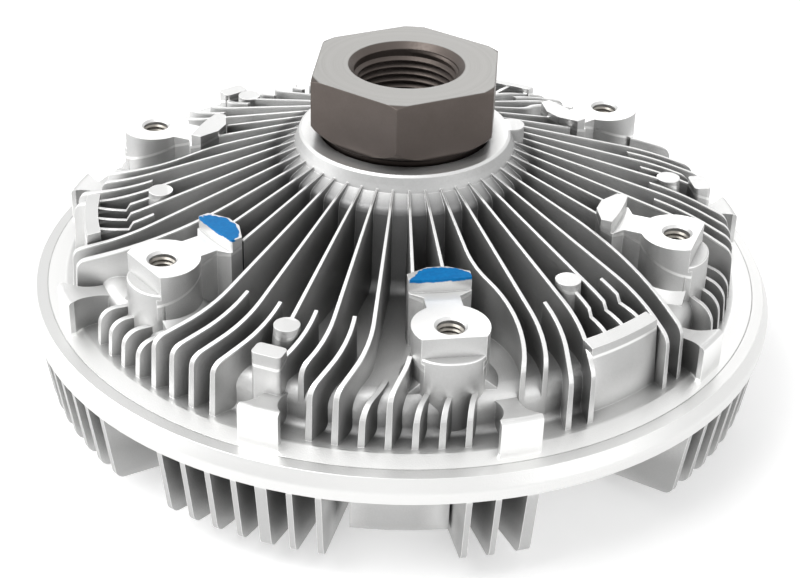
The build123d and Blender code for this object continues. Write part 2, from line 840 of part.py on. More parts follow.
def divider_plate():
    """Plate between the working chamber and the reservoir, with its valve port and return port."""
    plate = post(divider_radius, divider_bottom, divider_top)
    cone = divider_screw_head - divider_screw_radius
    sink = turned((0, divider_bottom), (divider_screw_radius, divider_bottom),
                  (divider_screw_radius, divider_top - cone),
                  (divider_screw_head, divider_top), (0, divider_top))
    plate -= [place * sink for place in divider_screw_places()]
    valve_port = post(valve_port_radius, divider_bottom, divider_top, x=valve_port_circle)
    return_port = post(return_port_radius, divider_bottom, divider_top, x=rotor_radius)
    plate -= [Rot(0, 0, valve_angle) * valve_port, Rot(0, 0, wiper_angle + 8) * return_port]
    plate -= wiper_peg(divider_bottom)
    plate -= [place * post(stop_pin_radius, divider_bottom, divider_top) for place in stop_places()]
    return plate


def wiper_peg(low):
    """Peg that locates the wiper in the divider plate."""
    middle = wiper_inner_radius + wiper_width / 2
    return Rot(0, 0, wiper_angle) * post(wiper_peg_radius, low, divider_top, x=middle)


def pump_wiper():
    """Block beside the rotor's rim that turns the fluid into the return port."""
    reach = math.degrees(wiper_length / wiper_inner_radius)
    section = outline((wiper_inner_radius, divider_top), (wiper_inner_radius + wiper_width, divider_top),
                      (wiper_inner_radius + wiper_width, rotor_top), (wiper_inner_radius, rotor_top))
    body = Rot(0, 0, wiper_angle - reach / 2) * revolve(section, Axis.Z, reach)
    return body + wiper_peg(divider_bottom)


def stop_places():
    """Places of the two pins that limit the valve arm."""
    half = math.degrees((arm_tip_width / 2 + stop_pin_radius + stop_clearance) / stop_circle)
    angles = (valve_angle - half, valve_angle + valve_travel + half)
    return [Pos(polar(stop_circle, angle)) for angle in angles]


def valve_stop_pins():
    """Two pins in the divider plate that limit the valve arm."""
    return Compound([place * post(stop_pin_radius, divider_bottom - stop_pin_length, divider_top)
                     for place in stop_places()])


def valve_arm():
    """Sprung steel arm that covers the valve port."""
    arm = block(0, valve_port_circle, arm_tip_width, arm_bottom, arm_top)
    arm += post(arm_hub_radius, arm_bottom, arm_top)
    arm += post(arm_tip_width / 2, arm_bottom, arm_top, x=valve_port_circle)
    arm -= post(valve_tenon_radius, arm_bottom, arm_top)
    return Rot(0, 0, valve_angle) * arm


def valve_shaft():
    """Shaft that carries the arm in the reservoir and takes the coil's inner end outside."""
    low = coil_bottom - 0.6
    seal_height = (bushing_top + bushing_bottom) / 2
    half = seal_ring_seat / 2
    shaft = turned(
        (0, low),
        (valve_shaft_radius - 0.5, low),
        (valve_shaft_radius, low + 0.5),
        (valve_shaft_radius, seal_height - half),
        (valve_shaft_radius - seal_ring_seat, seal_height - half),
        (valve_shaft_radius - seal_ring_seat, seal_height + half),
        (valve_shaft_radius, seal_height + half),
        (valve_shaft_radius, bushing_top + 0.1),
        (valve_shaft_radius + 1.6, bushing_top + 0.1),
        (valve_shaft_radius + 1.6, arm_bottom),
        (valve_tenon_radius, arm_bottom),
        (valve_tenon_radius, arm_top),
        (0, arm_top),
    )
    return shaft - block(-2 * valve_shaft_radius, 2 * valve_shaft_radius, coil_slot, low, coil_top + 0.3)


def valve_shaft_seal():
    """Sealing ring in the valve shaft's groove."""
    height = (bushing_top + bushing_bottom) / 2
    half = seal_ring_seat / 2 - joint_clearance
    inner = valve_shaft_radius - seal_ring_seat + joint_clearance
    return ring(inner, valve_shaft_radius + running_clearance / 2, height - half, height + half)


def valve_bushing():
    """Bronze bush for the valve shaft in the cover."""
    return ring(valve_shaft_radius + running_clearance, bushing_radius, bushing_bottom, bushing_top)


def bimetal_coil():
    """Spiral strip of half circles: a tab in the shaft's slot, the turns, and a flat end for the bracket."""
    bend = Vector(coil_inner_radius, coil_bend)
    path = [Line((-valve_shaft_radius + 0.6, 0), (coil_inner_radius - coil_bend, 0))]
    path.append(TangentArc((coil_inner_radius - coil_bend, 0), bend, tangent=(1, 0)))
    right = coil_inner_radius
    for i in range(coil_turns):
        left = -right - coil_pitch / 2
        path.append(TangentArc((right, coil_bend), (left, coil_bend), tangent=(0, 1)))
        path.append(TangentArc((left, coil_bend), (right + coil_pitch, coil_bend), tangent=(0, -1)))
        right += coil_pitch
    path.append(Line((right, coil_bend), (right, coil_bend + coil_end_length)))
    strip = trace(Wire([piece.edge() for piece in path]), coil_strip)
    return Pos(0, 0, coil_bottom) * extrude(strip, coil_width)


def bracket_screw_places():
    """Places of the bracket's two screws, above the coil."""
    return [Pos(bracket_hole_distance, side * bracket_screw_spacing / 2, 0) for side in (-1, 1)]


def coil_bracket():
    """Bent strap that holds the coil's outer end."""
    floor = cover_outer_floor
    base = block(bracket_hole_distance - bracket_lap, coil_reach + bracket_thickness, bracket_width,
                 floor - bracket_thickness, floor)
    arm = block(coil_reach, coil_reach + bracket_thickness, bracket_width / 2, coil_bottom, floor)
    bracket = base + arm
    return bracket - [place * post(bracket_screw_radius, floor - bracket_thickness, floor)
                      for place in bracket_screw_places()]


def bracket_screws():
    """Pan head screws of the coil's bracket."""
    seat = cover_outer_floor - bracket_thickness
    low = seat - bracket_screw_head_height
    tip = cover_outer_floor + bracket_screw_length
    screw = turned((0, low), (bracket_screw_head, low), (bracket_screw_head, seat),
                   (bracket_screw_radius, seat), (bracket_screw_radius, tip), (0, tip))
    screw -= block(-bracket_screw_head, bracket_screw_head, 0.9, low, low + 0.8)
    return Compound([place * screw for place in bracket_screw_places()])


def filler_plug():
    """Plug that closes the filling hole in the cover's recess."""
    low = cover_outer_floor - plug_head
    plug = turned((0, low), (plug_radius + 1, low), (plug_radius + 1, cover_outer_floor),
                  (plug_radius, cover_outer_floor), (plug_radius, cover_inner_floor), (0, cover_inner_floor))
    return Pos(-plug_circle, 0, 0) * plug


def pieces():
    """Every piece of the clutch by its name."""
    low_seal, high_seal = seal_heights()
    named = {
        "rear_housing": rear_housing(),
        "front_cover": front_cover(),
        "cover_seal": cover_seal(),
        "bearing_outer_ring": bearing_outer_ring(),
        "bearing_inner_ring": bearing_inner_ring(),
        "bearing_cage": bearing_cage(),
        "bearing_front_seal": bearing_seal(low_seal),
        "bearing_rear_seal": bearing_seal(high_seal),
        "bearing_retaining_ring": bearing_retaining_ring(),
        "drive_hub": drive_hub(),
        "rotor": rotor(),
        "rotor_retaining_ring": rotor_retaining_ring(),
        "divider_plate": divider_plate(),
        "divider_screws": divider_screws(),
        "pump_wiper": pump_wiper(),
        "valve_arm": valve_arm(),
        "valve_stop_pins": valve_stop_pins(),
        "valve_shaft": valve_shaft(),
        "valve_shaft_seal": valve_shaft_seal(),
        "valve_bushing": valve_bushing(),
        "bimetal_coil": bimetal_coil(),
        "coil_bracket": coil_bracket(),
        "bracket_screws": bracket_screws(),
        "filler_plug": filler_plug(),
    }
    for i in range(ball_count):
        named[f"bearing_ball_{i + 1:02d}"] = ball(i)
    return named


os.makedirs("parts", exist_ok=True)
for name, shape in pieces().items():
    export_step(Pos(0, 0, seam_height) * shape, f"parts/{name}.step")
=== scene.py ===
import json
import math

import bpy
from mathutils import Matrix, Vector


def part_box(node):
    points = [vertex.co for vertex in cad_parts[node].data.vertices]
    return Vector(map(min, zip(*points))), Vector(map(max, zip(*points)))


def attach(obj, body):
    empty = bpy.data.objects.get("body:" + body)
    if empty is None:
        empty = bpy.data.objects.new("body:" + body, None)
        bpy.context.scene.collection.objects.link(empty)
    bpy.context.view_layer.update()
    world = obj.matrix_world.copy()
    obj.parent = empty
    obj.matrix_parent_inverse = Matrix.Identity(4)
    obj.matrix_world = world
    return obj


# Metres throughout. The boxes of the frame's pieces give the driving heights.
MM = 0.001

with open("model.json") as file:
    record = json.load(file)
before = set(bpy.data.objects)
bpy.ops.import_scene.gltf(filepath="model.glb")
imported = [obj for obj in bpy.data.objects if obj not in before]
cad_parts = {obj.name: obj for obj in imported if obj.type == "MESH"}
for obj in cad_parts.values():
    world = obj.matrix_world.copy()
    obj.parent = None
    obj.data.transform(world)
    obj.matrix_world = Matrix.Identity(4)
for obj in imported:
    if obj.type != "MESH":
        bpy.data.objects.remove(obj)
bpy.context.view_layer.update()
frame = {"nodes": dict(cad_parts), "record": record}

# Heights above the floor
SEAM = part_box("front_cover")[1][2]
HEX_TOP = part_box("drive_hub")[1][2]
NUT_BOTTOM = HEX_TOP - 16.0 * MM
HUB_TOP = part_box("rear_housing")[1][2]
BOSS_TOP = HUB_TOP - 14.6 * MM
TAB_TOP = HUB_TOP - 11.1 * MM
APRON_TOP = SEAM + 20.8 * MM
DRIVE_THREAD_SPAN = (HEX_TOP - 22.0 * MM, HEX_TOP - 1.7 * MM)
FAN_THREAD_SPAN = (BOSS_TOP - 13 * MM, BOSS_TOP - 0.6 * MM)

# Radii round the shaft's axis
DRIVE_BORE = 13.92 * MM
TAB_FRONT = 61.6 * MM
BOSS_CIRCLE = 76.85 * MM
LIP_INNER = 98.0 * MM

# Fan bosses and the tabs behind them: angle of the first in degrees, and the painted ones
BOSS_ANGLE = 219.2
BOSS_COUNT = 6
PAINTED_TABS = (0, 1)
TAB_HALF_WIDTH = 8.0 * MM
TAB_DEPTH = 6.0 * MM

# Cone of the ribs' crests: its height at a radius, its fall, and how strongly a highlight is
# painted along it
CREST_RADIUS = 29.9 * MM
CREST_HEIGHT = HUB_TOP - 3.5 * MM
CREST_SLOPE = 0.362
CREST_HIGHLIGHT = 0.85

# Heights and radii between which the masks of the castings rise or fall
BOSS_FACE = (BOSS_TOP - 0.05 * MM, BOSS_TOP + 0.05 * MM)
BOSS_FACE_RADII = (62 * MM, 88 * MM)
HUB_FACE = (HUB_TOP - 0.6 * MM, HUB_TOP - 0.3 * MM)
HUB_FACE_RADII = (28.6 * MM, 29.1 * MM)
HUB_TUBE = (HUB_TOP - 8.2 * MM, HUB_TOP - 3.2 * MM)
HUB_TUBE_RADII = (35 * MM, 39 * MM)
RING_FACE = (SEAM + 1.2 * MM, SEAM + 1.6 * MM)
RING_RADII = (92.3 * MM, 93.3 * MM)
BLOCK_RADII = (96.3 * MM, 96.5 * MM)
CREST_BAND = (CREST_HEIGHT - 0.5 * MM, CREST_HEIGHT + 0.3 * MM)
CREST_FOOT = (SEAM + 11.5 * MM, SEAM + 12.5 * MM)
CREST_RADII = (34.5 * MM, 36.5 * MM)
LIP_FOOT = (SEAM - 7.6 * MM, SEAM - 7.0 * MM)
LIP_RADII = (LIP_INNER - 0.6 * MM, LIP_INNER)
SEAM_FOOT = (SEAM - 1.0 * MM, SEAM - 0.6 * MM)
SEAM_RADII = (LIP_INNER - 0.12 * MM, LIP_INNER + 0.12 * MM)
PAINT_FOOT = (TAB_TOP - 0.9 * MM, TAB_TOP - 0.6 * MM)

# Threads: pitch, depth and steps in a turn
DRIVE_THREAD = (2.0 * MM, 1.0 * MM, 72)
FAN_THREAD = (1.25 * MM, 0.5 * MM, 32)
FAN_BORE = 3.4 * MM
RIDGE_SINK = 0.02 * MM
RIDGE_RISES = (0.0, 0.38, 0.52, 0.9)
RIDGE_FADE = 3

# Boss apron: half its arc in degrees, the steps along it, its radius and the flat at its front
# in mm, how fast that flat fades along the arc, and its foot and top edge with their swell in mm
APRON_ARC = 60
APRON_STEPS = 28
APRON_RADIUS = 9.5
APRON_FLAT = 0.75
APRON_TURN = 1.6
APRON_LEVELS = ((SEAM + 1.2 * MM, 0.25), (APRON_TOP - 0.6 * MM, 0.0),
                (APRON_TOP - 0.18 * MM, -0.12), (APRON_TOP, -0.55))

# Check paint on the tabs: how ragged its edge is, how much of that its lower edge has, and
# where its outer edge and its back begin, as shares of the tab
PAINT_RAGGED = 6 * MM
PAINT_RAGGED_FOOT = 0.3
PAINT_RIM = (0.93, 1.0)
PAINT_BACK = (-0.3, -0.2)

# Tones, between which a noise blends where there are two
CAST_TONES = ((0.60, 0.60, 0.595, 1), (0.72, 0.72, 0.715, 1))
# Painted shade on the open upright faces of the castings
UPRIGHT_SHADE_TONE = (0.47, 0.47, 0.467, 1)
# Edges painted bright: part wear, part painted highlight
WEAR_AND_HIGHLIGHT_TONE = (0.86, 0.86, 0.85, 1)
BLUE_TONES = ((0.0, 0.13, 0.38, 1), (0.0, 0.22, 0.56, 1))
HUB_TONES = ((0.085, 0.070, 0.062, 1), (0.135, 0.115, 0.105, 1))
# Painted shadow on the hub's neck under the nut
HUB_SHADE_TONE = (0.02, 0.015, 0.013, 1)
HUB_TOP_TONE = (0.255, 0.25, 0.24, 1)
HUB_FACE_SHARE = 0.35
BIMETAL_TONES = ((0.42, 0.37, 0.29, 1), (0.58, 0.52, 0.42, 1))
# Painted shade on the hub's tube
TUBE_SHADE = 0.20
SEAM_SHADE = 0.10
HOUSING_BRIGHT = 0.88
COVER_BRIGHT = 0.71
# Painted shade: tones deep in the recesses of the housing and of the aprons
HOUSING_RECESS_SHADE = 0.22
APRON_RECESS_SHADE = 0.46

# Shares of open sky within a reach, where a casting's painted shade in its recesses ends and
# its painted shade on open upright faces begins, and the turns of the normal between which a
# face is level, or an edge is painted bright for wear and as a highlight
RECESS_REACH = 9 * MM
RECESS_SKY = (0.1, 0.75)
UPRIGHT_SHADE_SKY = (0.78, 0.96)
LEVEL_TURN = (0.25, 0.5)
WEAR_AND_HIGHLIGHT_TURN = (0.93, 0.995)

# Noises: scale, detail and roughness
CAST_GRAIN = (2600, 3.0, 0.6)
CAST_CLOUD = (55, 3.0, 0.5)
HUB_GRAIN = (1400, 4.0, 0.6)
HUB_CLOUD = (70, 3.0, 0.55)
METAL_GRAIN = (1800, 3.0, 0.6)
METAL_CLOUD = (90, 2.0, 0.5)
RUBBER_GRAIN = (2400, 2.0, 0.5)
ROLLED_LINES = (5200, 2.0, 0.5)
BIMETAL_CLOUD = (160, 2.0, 0.5)
PAINT_EDGE = (260, 4.0, 0.6)
PAINT_STREAKS = (900, 2.0, 0.5)
PAPER_GRAIN = (120, 2.0, 0.5)

# Turned rings: pitch, and the detail and roughness of their noise
CAST_PITCH = 0.22 * MM
HUB_PITCH = 0.3 * MM
TURNED_NOISE = (3.0, 0.6)

# Roughness over the middle of a grain or of turned rings, and that of plain surfaces
GRAIN_MIDDLE = (0.2, 0.8)
TURNED_MIDDLE = (0.3, 0.7)
CAST_ROUGH = (0.42, 0.58)
CAST_TURNED_ROUGH = (0.34, 0.44)
HUB_ROUGH = (0.34, 0.5)
HUB_TURNED_ROUGH = (0.3, 0.4)
RUBBER_ROUGH = (0.5, 0.65)
BIMETAL_ROUGH = (0.28, 0.42)
PAINT_ROUGH = 0.5
PAINT_SPECULAR = 0.15
PAPER_ROUGH = 0.8
HUB_METALLIC = 0.85

# Bumps: height and strength
CAST_BUMP = (0.10 * MM, 0.5)
CAST_TURNED_BUMP = (0.012 * MM, 0.5)
HUB_BUMP = (0.03 * MM, 0.35)
HUB_TURNED_BUMP = (0.015 * MM, 0.3)
METAL_BUMP = (0.02 * MM, 0.5)
RUBBER_BUMP = (0.03 * MM, 0.4)

# Radii that the materials give to sharp edges
CAST_EDGE = 0.24 * MM
HUB_EDGE = 0.4 * MM
METAL_EDGE = 0.12 * MM

# Camera, from the solved view of the photograph
CAMERA_DISTANCE = 479.1 * MM
CAMERA_ELEVATION = math.radians(31.28)
CAMERA_ROLL = 0.0294
CAMERA_LENS = 75.39
TARGET_HEIGHT = SEAM - 10.34 * MM

# Studio: the world's light on the object, the floor's glow, and the lamps with their places,
# the heights that they look at and their watts
WORLD_LIGHT = 0.4
FLOOR_GLOW = 0.46
FLOOR_HALF = 3.0
FLOOR_DROP = 0.2 * MM
LAMP_SIZE = 0.5
LAMPS = (
    ("key", (-0.35, -0.25, 0.75), 0.03, 3.5),
    ("fill", (0.6, -0.45, 0.40), 0.03, 1.0),
    ("back", (0.1, 0.7, 0.55), 0.03, 1.0),
    ("left", (-0.75, 0.0, 0.30), 0.03, 2.7),
    ("front", (0.0, -0.9, 0.12), 0.02, 0.3),
)


def grey(level):
    """Neutral colour."""
    return (level, level, level, 1)


def boss_turn(index):
    """Angle of one fan boss round the axis."""
    return math.radians(BOSS_ANGLE + 360 / BOSS_COUNT * index)


def new_mesh(name, vertices, faces, body, smooth=True):
    """Adds a mesh object that rides on a body."""
    mesh = bpy.data.meshes.new(name)
    mesh.from_pydata(vertices, [], faces)
    mesh.update()
    piece = bpy.data.objects.new(name, mesh)
    bpy.context.scene.collection.objects.link(piece)
    for face in mesh.polygons:
        face.use_smooth = smooth
    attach(piece, body)
    return piece


class Nodes:
    """Short calls that add and join the nodes of one tree."""

    def __init__(self, tree):
        self.tree = tree

    def link(self, value, socket):
        """Joins a socket to an input, or gives the input a fixed value."""
        if isinstance(value, bpy.types.NodeSocket):
            self.tree.links.new(value, socket)
        else:
            socket.default_value = value

    def node(self, kind, inputs=None, **settings):
        """Outputs of a new node whose properties and inputs are set."""
        node = self.tree.nodes.new(kind)
        for key, value in settings.items():
            setattr(node, key, value)
        for key, value in (inputs or {}).items():
            self.link(value, node.inputs[key])
        return node.outputs

    def math(self, operation, first, *others):
        """One operation along a row of values."""
        for other in others:
            first = self.node("ShaderNodeMath", {0: first, 1: other}, operation=operation)[0]
        return first

    def product(self, *values):
        return self.math("MULTIPLY", *values)

    def most(self, *values):
        return self.math("MAXIMUM", *values)

    def ramp(self, value, low, high, start=0.0, end=1.0):
        """Smooth step of a value between two limits."""
        inputs = {"Value": value, "From Min": low, "From Max": high, "To Min": start, "To Max": end}
        return self.node("ShaderNodeMapRange", inputs, interpolation_type="SMOOTHSTEP")["Result"]

    def fall(self, value, low, high):
        """One below the low limit, smoothly down to none at the high one."""
        return self.ramp(value, low, high, 1.0, 0.0)

    def band(self, value, low, high, soft):
        """One between two limits, none outside, with soft ends."""
        return self.product(self.ramp(value, low - soft, low + soft),
                            self.fall(value, high - soft, high + soft))

    def background_rays(self):
        """One for the rays that show the background: camera, transmission and glossy ones."""
        rays = self.node("ShaderNodeLightPath")
        return self.most(rays["Is Camera Ray"], rays["Is Transmission Ray"], rays["Is Glossy Ray"])


class Shader(Nodes):
    """Material of one Principled shader, with short calls for what the pieces share."""

    def __init__(self, name):
        self.material = bpy.data.materials.new(name)
        self.material.use_nodes = True
        super().__init__(self.material.node_tree)
        self.bsdf = self.tree.nodes["Principled BSDF"]
        self.place = self.node("ShaderNodeTexCoord")["Object"]

    def vector(self, operation, *values):
        """Outputs of an operation on vectors."""
        return self.node("ShaderNodeVectorMath", dict(enumerate(values)), operation=operation)

    def dot(self, first, second):
        return self.vector("DOT_PRODUCT", first, second)["Value"]

    def height(self):
        return self.node("ShaderNodeSeparateXYZ", {0: self.place})["Z"]

    def radius(self):
        """Distance from the shaft's axis."""
        flat = self.vector("MULTIPLY", self.place, (1, 1, 0))["Vector"]
        return self.vector("LENGTH", flat)["Value"]

    def noise(self, scale, detail, rough, vector=None):
        inputs = {"Vector": vector or self.place, "Scale": scale, "Detail": detail,
                  "Roughness": rough}
        return self.node("ShaderNodeTexNoise", inputs)["Fac"]

    def turned(self, pitch):
        """Fine rings round the axis, as a lathe leaves."""
        rings = self.node("ShaderNodeCombineXYZ", {0: self.radius(), 1: self.height()})
        return self.noise(1 / pitch, *TURNED_NOISE, rings[0])

    def mix(self, share, first, second, kind="RGBA"):
        """Blend of two colours."""
        inputs = {"Factor": share, "A": first, "B": second}
        return self.node("ShaderNodeMix", inputs, data_type=kind)["Result"]

    def blend(self, share, first, second):
        """Blend of two numbers."""
        return self.mix(share, first, second, "FLOAT")

    def bump(self, height, distance, strength, normal=None):
        """Normal that a height bends, from another normal or from the surface's own."""
        inputs = {"Distance": distance, "Strength": strength, "Height": height}
        if normal is not None:
            inputs["Normal"] = normal
        return self.node("ShaderNodeBump", inputs)["Normal"]

    def soft_edges(self, radius):
        """Normal that rounds the sharp edges of a CAD piece."""
        return self.node("ShaderNodeBevel", {"Radius": radius}, samples=6)["Normal"]

    def open_sky(self, reach):
        """One on open faces, down to none deep in a recess."""
        return self.node("ShaderNodeAmbientOcclusion", {"Distance": reach}, samples=4)["AO"]

    def grain_rough(self, grain, limits):
        """Roughness that follows a grain."""
        return self.ramp(grain, *GRAIN_MIDDLE, *limits)

    def turned_rough(self, turned, limits):
        """Roughness that follows turned rings."""
        return self.ramp(turned, *TURNED_MIDDLE, *limits)

    def finish(self, color, metallic, roughness, normal=None):
        """Sets the shader's own sockets and returns the material."""
        values = {"Base Color": color, "Metallic": metallic, "Roughness": roughness}
        if normal is not None:
            values["Normal"] = normal
        for key, value in values.items():
            self.link(value, self.bsdf.inputs[key])
        return self.material


def seam_line(shader):
    """Mask of the dark line between the housing's ring and the cover's lip."""
    return shader.product(shader.band(shader.radius(), *SEAM_RADII, soft=0.08 * MM),
                          shader.ramp(shader.height(), *SEAM_FOOT))


def cast_material(name, machined=None, bright=HOUSING_BRIGHT, deep=HOUSING_RECESS_SHADE, paint=None):
    """Shot-blasted cast aluminium, with painted shade deep in its recesses and on its open upright
    faces, open edges painted bright for wear and as a highlight, and bright faces where the
    machined masks lie. A paint goes over all of it."""
    shader = Shader(name)
    grain = shader.noise(*CAST_GRAIN)
    cloud = shader.noise(*CAST_CLOUD)
    turned = shader.turned(CAST_PITCH)
    # Masks of the bright faces, the turned rings and painted shade; the housing's bright mask also
    # holds a painted highlight on the ribs' crests
    share, lathe, shade = machined(shader) if machined else (0.0, 0.0, 0.0)
    flat = shader.node("ShaderNodeNewGeometry")["True Normal"]
    sky = shader.open_sky(RECESS_REACH)
    reach = shader.ramp(sky, *RECESS_SKY)
    upright = shader.fall(shader.dot(flat, (0, 0, 1)), *LEVEL_TURN)
    upright_shade = shader.product(shader.ramp(sky, *UPRIGHT_SHADE_SKY), upright)
    # Painted shade: the deep tone darkens recesses where the ambient occlusion finds little open
    # sky
    color = shader.mix(reach, grey(deep), shader.mix(cloud, *CAST_TONES))
    # Painted shade: open upright faces darker than level ones
    color = shader.mix(upright_shade, color, UPRIGHT_SHADE_TONE)
    # Painted shade on the hub's tube
    color = shader.mix(shade, color, grey(TUBE_SHADE))
    # Bright machined faces, and the painted highlight on the ribs' crests
    color = shader.mix(share, color, (bright, bright, 0.99 * bright, 1))
    color = shader.mix(seam_line(shader), color, grey(SEAM_SHADE))
    rounded = shader.soft_edges(CAST_EDGE)
    # Open edges painted bright: part wear, part painted highlight
    wear_and_highlight = shader.fall(shader.dot(rounded, flat), *WEAR_AND_HIGHLIGHT_TURN)
    color = shader.mix(shader.product(wear_and_highlight, reach), color, WEAR_AND_HIGHLIGHT_TONE)
    rough = shader.blend(share, shader.grain_rough(grain, CAST_ROUGH),
                         shader.turned_rough(turned, CAST_TURNED_ROUGH))
    normal = shader.bump(grain, *CAST_BUMP, rounded)
    normal = shader.bump(shader.product(turned, lathe), *CAST_TURNED_BUMP, normal)
    metallic = 1.0
    if paint:
        color, metallic, rough = paint(shader, color, rough)
    return shader.finish(color, metallic, rough, normal)


def housing_masks(shader):
    """Masks of the rear housing: machined faces with a painted highlight along the ribs' crests,
    turned ring, and painted shade on the hub's tube.
    """
    radius = shader.radius()
    height = shader.height()
    boss = shader.product(shader.band(height, *BOSS_FACE, soft=0.05 * MM),
                          shader.band(radius, *BOSS_FACE_RADII, soft=0.3 * MM))
    hub = shader.product(shader.ramp(height, *HUB_FACE), shader.fall(radius, *HUB_FACE_RADII))
    ring = shader.product(shader.ramp(radius, *RING_RADII), shader.fall(height, *RING_FACE))
    block = shader.ramp(radius, *BLOCK_RADII)
    drop = shader.product(shader.math("SUBTRACT", radius, CREST_RADIUS), CREST_SLOPE)
    level = shader.math("ADD", height, drop)
    # Painted highlight along the ribs' crests, taken into the bright machined share
    crest = shader.product(shader.band(level, *CREST_BAND, soft=0.2 * MM),
                           shader.ramp(height, *CREST_FOOT, end=CREST_HIGHLIGHT),
                           shader.ramp(radius, *CREST_RADII))
    # Painted shade on the hub's tube below its face
    tube = shader.product(shader.fall(radius, *HUB_TUBE_RADII),
                          shader.ramp(height, *HUB_TUBE, start=1.0, end=0.35),
                          shader.fall(height, *HUB_FACE))
    hub = shader.product(hub, HUB_FACE_SHARE)
    return shader.most(boss, hub, ring, block, crest), ring, tube


def cover_machined(shader):
    """Masks of the front cover: its rolled lip is machined and turned."""
    lip = shader.product(shader.ramp(shader.radius(), *LIP_RADII),
                         shader.ramp(shader.height(), *LIP_FOOT))
    return lip, lip, 0.0


def tab_mask(shader):
    """Mask of the check paint brushed over the tops of some of the tabs."""
    uneven = shader.math("SUBTRACT", shader.noise(*PAINT_EDGE), 0.5)
    edge = shader.product(uneven, PAINT_RAGGED)
    low = shader.math("ADD", shader.height(), shader.product(edge, PAINT_RAGGED_FOOT))
    top = shader.ramp(low, *PAINT_FOOT)
    masks = []
    for index in PAINTED_TABS:
        turn = boss_turn(index)
        along = shader.dot(shader.place, (math.cos(turn), math.sin(turn), 0))
        across = shader.dot(shader.place, (-math.sin(turn), math.cos(turn), 0))
        side = shader.math("DIVIDE", across, TAB_HALF_WIDTH)
        back = shader.math("DIVIDE", shader.math("SUBTRACT", TAB_FRONT, along), TAB_DEPTH)
        reach = shader.math("ADD", shader.math("POWER", side, 2.0),
                            shader.math("POWER", back, 2.0),
                            shader.math("DIVIDE", edge, TAB_DEPTH))
        masks.append(shader.product(shader.fall(reach, *PAINT_RIM),
                                    shader.ramp(back, *PAINT_BACK), top))
    return shader.most(*masks)


def blue_paint(shader, color, rough):
    """Streaky blue paint over a finish: the new colour, metallic share and roughness."""
    mask = tab_mask(shader)
    blue = shader.mix(shader.noise(*PAINT_STREAKS), *BLUE_TONES)
    shader.bsdf.inputs["Specular IOR Level"].default_value = PAINT_SPECULAR
    return (shader.mix(mask, color, blue), shader.math("SUBTRACT", 1.0, mask),
            shader.blend(mask, rough, PAINT_ROUGH))


def hub_material():
    """Dark oiled steel of the drive hub, with a brighter turned top and painted shadow on the neck
    under the nut.
    """
    shader = Shader("hub_steel_finish")
    height = shader.height()
    grain = shader.noise(*HUB_GRAIN)
    turned = shader.turned(HUB_PITCH)
    top = shader.product(shader.ramp(height, HEX_TOP - 0.12 * MM, HEX_TOP - 0.04 * MM),
                         shader.ramp(shader.radius(), DRIVE_BORE + 1.0 * MM,
                                     DRIVE_BORE + 1.4 * MM))
    dark = shader.mix(shader.noise(*HUB_CLOUD), *HUB_TONES)
    # Painted shadow: the neck below the nut turns near black
    dark = shader.mix(shader.ramp(height, NUT_BOTTOM - 0.4 * MM, NUT_BOTTOM + 0.4 * MM),
                      HUB_SHADE_TONE, dark)
    color = shader.mix(top, dark, HUB_TOP_TONE)
    rough = shader.blend(top, shader.grain_rough(grain, HUB_ROUGH),
                         shader.turned_rough(turned, HUB_TURNED_ROUGH))
    normal = shader.bump(grain, *HUB_BUMP, shader.soft_edges(HUB_EDGE))
    normal = shader.bump(shader.product(turned, top), *HUB_TURNED_BUMP, normal)
    return shader.finish(color, HUB_METALLIC, rough, normal)


def plain_metal(name, color, roughness, metallic=1.0):
    """Small metal piece with a fine grain and slight tone changes."""
    shader = Shader(name)
    grain = shader.noise(*METAL_GRAIN)
    darker = tuple(0.82 * channel for channel in color)
    tone = shader.mix(shader.noise(*METAL_CLOUD), darker + (1,), color + (1,))
    rough = shader.grain_rough(grain, (roughness - 0.06, roughness + 0.08))
    normal = shader.bump(grain, *METAL_BUMP, shader.soft_edges(METAL_EDGE))
    return shader.finish(tone, metallic, rough, normal)


def rubber_material():
    """Black nitrile rubber."""
    shader = Shader("seal_rubber_finish")
    grain = shader.noise(*RUBBER_GRAIN)
    color = shader.mix(grain, grey(0.012), grey(0.03))
    rough = shader.grain_rough(grain, RUBBER_ROUGH)
    return shader.finish(color, 0.0, rough, shader.bump(grain, *RUBBER_BUMP))


def bimetal_material():
    """Bimetal strip of a yellowish alloy, with fine lines as rolling leaves along its length."""
    shader = Shader("bimetal_finish")
    lines = shader.node("ShaderNodeCombineXYZ", {2: shader.height()})
    rolled = shader.noise(*ROLLED_LINES, lines[0])
    color = shader.mix(shader.noise(*BIMETAL_CLOUD), *BIMETAL_TONES)
    rough = shader.grain_rough(rolled, BIMETAL_ROUGH)
    return shader.finish(color, 1.0, rough, shader.bump(rolled, *METAL_BUMP))


def assign(node, material):
    """Gives one material to a CAD piece."""
    piece = frame["nodes"][node]
    piece.data.materials.clear()
    piece.data.materials.append(material)


